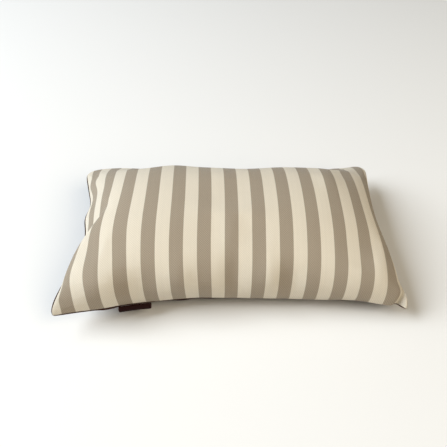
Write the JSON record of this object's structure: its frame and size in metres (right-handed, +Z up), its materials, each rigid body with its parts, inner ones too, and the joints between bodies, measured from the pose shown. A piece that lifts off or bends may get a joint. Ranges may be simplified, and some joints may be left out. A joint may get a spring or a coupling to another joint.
{
  "type": "back cushion",
  "caption": "Rectangular back cushion with a full crown, drawn-in sides, drooping corners and a lengthwise striped cloth front, lying on its plain leather back.",
  "frame": {"origin": "middle of the footprint, on the surface that the back lies on", "axes": "+X along the long side to the right as seen from the near seam, +Y from the near seam to the far seam, +Z up out of the striped face"},
  "size_m": [0.4684, 0.2804, 0.1209],
  "materials": {
    "striped_cloth": "matt twill weave, cream and taupe stripes running front to back",
    "back_leather": "very dark oxblood, low sheen",
    "label_leather": "very dark oxblood, low sheen, left bare"
  },
  "bodies": {
    "root": {"cushion": "striped_cloth", "back_panel": "back_leather", "label_tab": "label_leather"}
  },
  "joints": []
}
